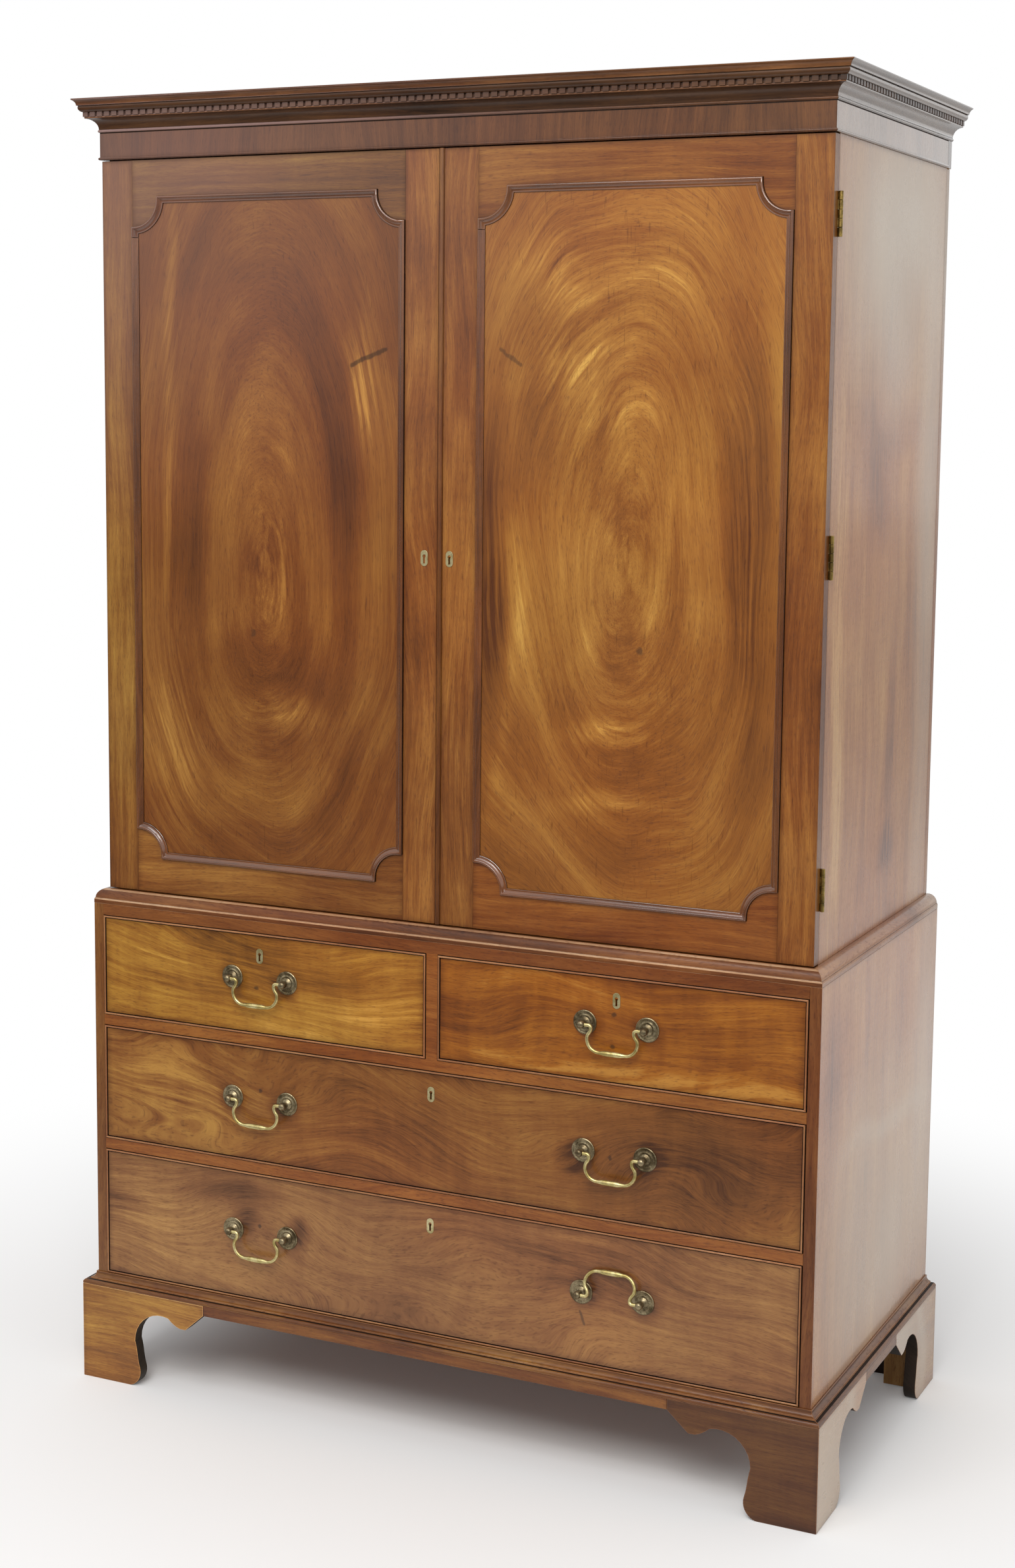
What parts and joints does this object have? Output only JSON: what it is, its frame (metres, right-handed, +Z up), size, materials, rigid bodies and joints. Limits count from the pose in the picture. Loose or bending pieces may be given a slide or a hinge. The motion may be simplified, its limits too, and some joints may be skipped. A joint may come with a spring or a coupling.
{
  "type": "linen press",
  "caption": "Mahogany linen press: cupboard with panelled doors and sliding trays over a chest of drawers, dentil cornice, bracket feet, brass bail handles.",
  "frame": {"origin": "middle of the overall box, on the floor", "axes": "+Z up, the doors and drawers face -Y, +X to the right seen from the front"},
  "size_m": [1.267, 0.627, 2.071],
  "materials": {
    "mahogany": "aged french-polished mahogany, satin gloss",
    "mahogany_figured": "figured mahogany veneer, polished",
    "mahogany_dark": "darker mahogany mouldings, polished",
    "lining_wood": "plain unpolished oak and deal linings",
    "brass": "aged antique brass, rubbed bright on the grips"
  },
  "bodies": {
    "root": {"chest_sides": "mahogany", "chest_boards": "mahogany", "drawer_rails": "mahogany", "drawer_supports": "lining_wood", "base_moulding": "mahogany_dark", "front_right_foot": "mahogany", "front_left_foot": "mahogany", "rear_right_foot": "mahogany", "rear_left_foot": "mahogany", "apron_rails": "mahogany", "waist_moulding": "mahogany_dark", "cupboard_sides": "mahogany", "cupboard_boards": "mahogany", "cupboard_back": "lining_wood", "tray_runners": "lining_wood", "cornice_frieze": "mahogany_dark", "cornice_moulding": "mahogany_dark", "dentil_course": "mahogany_dark", "fixed_hinge_leaves": "brass"},
    "left_door": {"left_door_frame": "mahogany", "left_door_panel": "mahogany_figured", "left_door_moulding": "mahogany_dark", "left_door_hinge_leaves": "brass", "left_door_brasses": "brass"},
    "left_top_bolt": {"left_door_top_bolt": "brass"},
    "left_bottom_bolt": {"left_door_bottom_bolt": "brass"},
    "right_door": {"right_door_frame": "mahogany", "right_door_panel": "mahogany_figured", "right_door_moulding": "mahogany_dark", "right_door_hinge_leaves": "brass", "right_door_brasses": "brass", "meeting_bead": "mahogany_dark"},
    "right_lock_bolt": {"right_door_lock_bolt": "brass"},
    "top_left_drawer": {"top_left_drawer_front": "mahogany_figured", "top_left_drawer_box": "lining_wood", "top_left_drawer_brasses": "brass"},
    "top_left_drawer_bolt": {"top_left_drawer_lock_bolt": "brass"},
    "top_left_bail": {"top_left_bail": "brass"},
    "top_right_drawer": {"top_right_drawer_front": "mahogany_figured", "top_right_drawer_box": "lining_wood", "top_right_drawer_brasses": "brass"},
    "top_right_drawer_bolt": {"top_right_drawer_lock_bolt": "brass"},
    "top_right_bail": {"top_right_bail": "brass"},
    "middle_drawer": {"middle_drawer_front": "mahogany_figured", "middle_drawer_box": "lining_wood", "middle_drawer_brasses": "brass"},
    "middle_drawer_bolt": {"middle_drawer_lock_bolt": "brass"},
    "middle_left_bail": {"middle_left_bail": "brass"},
    "middle_right_bail": {"middle_right_bail": "brass"},
    "bottom_drawer": {"bottom_drawer_front": "mahogany_figured", "bottom_drawer_box": "lining_wood", "bottom_drawer_brasses": "brass"},
    "bottom_drawer_bolt": {"bottom_drawer_lock_bolt": "brass"},
    "bottom_left_bail": {"bottom_left_bail": "brass"},
    "bottom_right_bail": {"bottom_right_bail": "brass"},
    "tray_1": {"tray_1": "lining_wood"},
    "tray_2": {"tray_2": "lining_wood"},
    "tray_3": {"tray_3": "lining_wood"},
    "tray_4": {"tray_4": "lining_wood"}
  },
  "joints": [
    {"name": "left_door_hinge", "type": "hinge", "parent": "root", "child": "left_door", "pos_m": [-0.5995, -0.25435, 1.3995], "axis": [0, 0, -1], "range_deg": [0, 175]},
    {"name": "right_door_hinge", "type": "hinge", "parent": "root", "child": "right_door", "pos_m": [0.5995, -0.25435, 1.3995], "axis": [0, 0, 1], "range_deg": [0, 175]},
    {"name": "left_top_bolt_slide", "type": "slide", "parent": "left_door", "child": "left_top_bolt", "axis": [0, 0, 1], "range_m": [0, 0.012]},
    {"name": "left_bottom_bolt_slide", "type": "slide", "parent": "left_door", "child": "left_bottom_bolt", "axis": [0, 0, -1], "range_m": [0, 0.012]},
    {"name": "right_lock_bolt_slide", "type": "slide", "parent": "right_door", "child": "right_lock_bolt", "axis": [-1, 0, 0], "range_m": [0, 0.008]},
    {"name": "top_left_drawer_slide", "type": "slide", "parent": "root", "child": "top_left_drawer", "axis": [0, -1, 0], "range_m": [0, 0.45]},
    {"name": "top_left_drawer_bolt_slide", "type": "slide", "parent": "top_left_drawer", "child": "top_left_drawer_bolt", "axis": [0, 0, 1], "range_m": [0, 0.008]},
    {"name": "top_left_bail_hinge", "type": "hinge", "parent": "top_left_drawer", "child": "top_left_bail", "pos_m": [-0.30325, -0.3075, 0.705], "axis": [-1, 0, 0], "range_deg": [-14, 194]},
    {"name": "top_right_drawer_slide", "type": "slide", "parent": "root", "child": "top_right_drawer", "axis": [0, -1, 0], "range_m": [0, 0.45]},
    {"name": "top_right_drawer_bolt_slide", "type": "slide", "parent": "top_right_drawer", "child": "top_right_drawer_bolt", "axis": [0, 0, 1], "range_m": [0, 0.008]},
    {"name": "top_right_bail_hinge", "type": "hinge", "parent": "top_right_drawer", "child": "top_right_bail", "pos_m": [0.30325, -0.3075, 0.705], "axis": [-1, 0, 0], "range_deg": [-14, 194]},
    {"name": "middle_drawer_slide", "type": "slide", "parent": "root", "child": "middle_drawer", "axis": [0, -1, 0], "range_m": [0, 0.45]},
    {"name": "middle_drawer_bolt_slide", "type": "slide", "parent": "middle_drawer", "child": "middle_drawer_bolt", "axis": [0, 0, 1], "range_m": [0, 0.008]},
    {"name": "middle_left_bail_hinge", "type": "hinge", "parent": "middle_drawer", "child": "middle_left_bail", "pos_m": [-0.30325, -0.3075, 0.51], "axis": [-1, 0, 0], "range_deg": [-14, 194]},
    {"name": "middle_right_bail_hinge", "type": "hinge", "parent": "middle_drawer", "child": "middle_right_bail", "pos_m": [0.30325, -0.3075, 0.51], "axis": [-1, 0, 0], "range_deg": [-14, 194]},
    {"name": "bottom_drawer_slide", "type": "slide", "parent": "root", "child": "bottom_drawer", "axis": [0, -1, 0], "range_m": [0, 0.45]},
    {"name": "bottom_drawer_bolt_slide", "type": "slide", "parent": "bottom_drawer", "child": "bottom_drawer_bolt", "axis": [0, 0, 1], "range_m": [0, 0.008]},
    {"name": "bottom_left_bail_hinge", "type": "hinge", "parent": "bottom_drawer", "child": "bottom_left_bail", "pos_m": [-0.30325, -0.3075, 0.2915], "axis": [-1, 0, 0], "range_deg": [-14, 194]},
    {"name": "bottom_right_bail_hinge", "type": "hinge", "parent": "bottom_drawer", "child": "bottom_right_bail", "pos_m": [0.30325, -0.3075, 0.2915], "axis": [-1, 0, 0], "range_deg": [-208, 0]},
    {"name": "tray_1_slide", "type": "slide", "parent": "root", "child": "tray_1", "axis": [0, -1, 0], "range_m": [0, 0.03]},
    {"name": "tray_2_slide", "type": "slide", "parent": "root", "child": "tray_2", "axis": [0, -1, 0], "range_m": [0, 0.03]},
    {"name": "tray_3_slide", "type": "slide", "parent": "root", "child": "tray_3", "axis": [0, -1, 0], "range_m": [0, 0.03]},
    {"name": "tray_4_slide", "type": "slide", "parent": "root", "child": "tray_4", "axis": [0, -1, 0], "range_m": [0, 0.03]}
  ]
}
